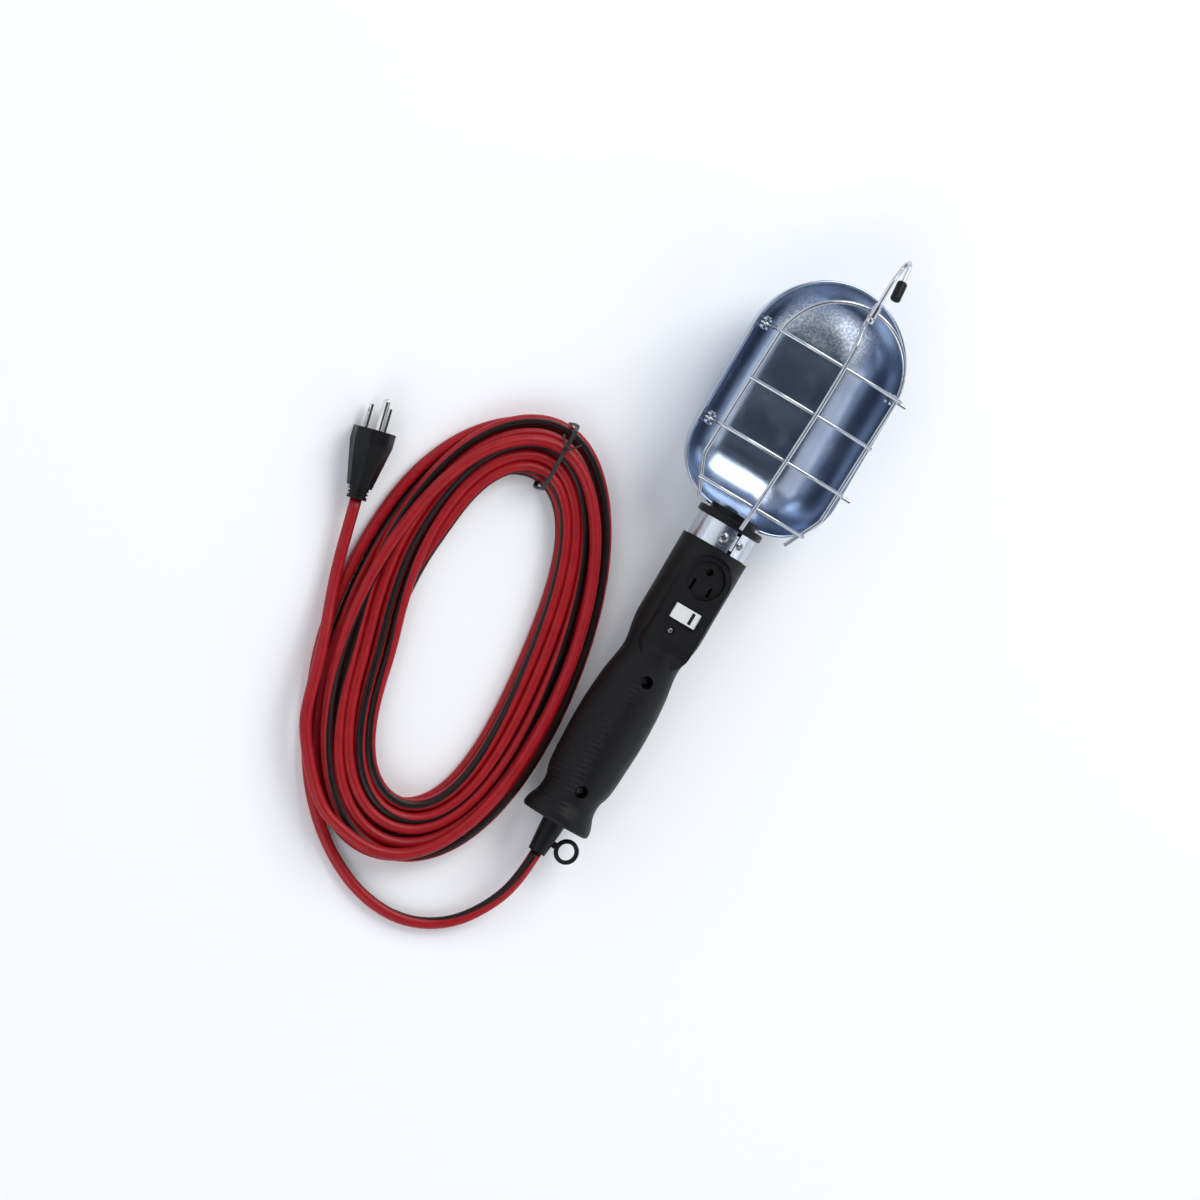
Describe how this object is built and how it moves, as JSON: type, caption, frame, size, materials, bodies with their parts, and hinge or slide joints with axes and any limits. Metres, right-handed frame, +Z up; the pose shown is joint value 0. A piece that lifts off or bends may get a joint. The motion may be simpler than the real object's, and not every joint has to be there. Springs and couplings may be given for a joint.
{
  "type": "work light",
  "caption": "Hand-held work light with a metal reflector, hinged wire guard, swivel hook, black handle with outlet and rocker switch, and a coiled red and black cord with plug.",
  "frame": {"origin": "bottom centre of the lamp's box, without the cord, as it lies on its back", "axes": "+Y along the lamp towards the hook, +Z up, out of the reflector's open front, +X across"},
  "size_m": [0.3034, 0.5313, 0.1217],
  "materials": {
    "handle_plastic": "satin, finely grained moulded plastic",
    "black_moulding": "satin moulding",
    "rocker_white": "smooth, slightly glossy",
    "nylon": "natural nylon",
    "zinc_screws": "bright zinc plate",
    "zinc_band": "bright zinc-plated sheet",
    "brass": "bare brass",
    "steel": "bare steel",
    "reflector_sheet": "bright bluish zinc-plated sheet steel",
    "guard_wire": "bright zinc-plated wire",
    "hook_wire": "bright zinc-plated wire",
    "cord_jacket": "red jacket with black stripes, satin",
    "insulation_black": "wire insulation",
    "insulation_white": "wire insulation",
    "insulation_green": "wire insulation",
    "plug_pins": "nickel-plated brass",
    "tie_wire": "plastic-coated tie wire"
  },
  "bodies": {
    "handle": {"handle_front_shell": "handle_plastic", "handle_rear_shell": "handle_plastic", "outlet_face": "handle_plastic", "switch_body": "handle_plastic", "socket_body": "black_moulding", "strain_relief": "black_moulding", "plug_body": "black_moulding", "handle_screws": "zinc_screws", "pad_screw": "zinc_screws", "clamp_screw": "zinc_screws", "clamp_rivet": "zinc_screws", "tongue_rivets": "zinc_screws", "cord_clamp_screws": "zinc_screws", "clamp_band_left": "zinc_band", "clamp_band_right": "zinc_band", "clamp_strap": "zinc_band", "cord_clamp": "zinc_band", "outlet_neutral_contact": "brass", "outlet_hot_contact": "brass", "outlet_ground_contact": "brass", "screw_shell": "brass", "centre_contact": "brass", "shell_rivet": "brass", "switch_terminals": "brass", "hinge_pin_upper": "steel", "hinge_pin_lower": "steel", "reflector": "reflector_sheet", "hinge_bracket_upper": "reflector_sheet", "hinge_bracket_lower": "reflector_sheet", "latch_saddle": "reflector_sheet", "cord_inner": "cord_jacket", "cord_lead": "cord_jacket", "cord_coil": "cord_jacket", "cord_tail": "cord_jacket", "wire_hot": "insulation_black", "wire_switched": "insulation_black", "wire_outlet_hot": "insulation_black", "wire_neutral": "insulation_white", "wire_shell": "insulation_white", "wire_ground": "insulation_green", "plug_blade_left": "plug_pins", "plug_blade_right": "plug_pins", "plug_ground_pin": "plug_pins", "coil_tie": "tie_wire"},
    "guard": {"guard_hoop": "guard_wire", "guard_spine": "guard_wire", "guard_bar_upper": "guard_wire", "guard_bar_middle": "guard_wire", "guard_bar_lower": "guard_wire", "guard_bar_base": "guard_wire", "hook_bushing": "guard_wire"},
    "hook": {"hook_wire": "hook_wire", "hook_head": "hook_wire", "hook_tip": "black_moulding"},
    "rocker": {"rocker": "rocker_white", "rocker_pivot_pin": "steel", "rocker_plunger": "nylon", "rocker_spring": "steel"},
    "contact_arm": {"contact_arm": "brass"}
  },
  "joints": [
    {"name": "guard_hinge", "type": "hinge", "parent": "handle", "child": "guard", "pos_m": [-0.05215, 0.11103, 0.0523], "axis": [0, -0.9972, -0.0752], "range_deg": [0, 100]},
    {"name": "hook_swivel", "type": "hinge", "parent": "guard", "child": "hook", "pos_m": [-0.00285, 0.18417, 0.09302], "axis": [0, 0.9972, 0.0752], "continuous": true},
    {"name": "rocker_tilt", "type": "hinge", "parent": "handle", "child": "rocker", "pos_m": [-0.00285, -0.04312, 0.05121], "axis": [0, 0.9972, 0.0752], "range_deg": [0, 14]},
    {"name": "contact_tilt", "type": "hinge", "parent": "handle", "child": "contact_arm", "pos_m": [-0.00285, -0.04238, 0.04133], "axis": [0, -0.9972, -0.0752], "range_deg": [0, 8.4]}
  ],
  "couplings": [
    {"joint": "contact_tilt", "follows": "rocker_tilt", "ratio": 0.6}
  ]
}
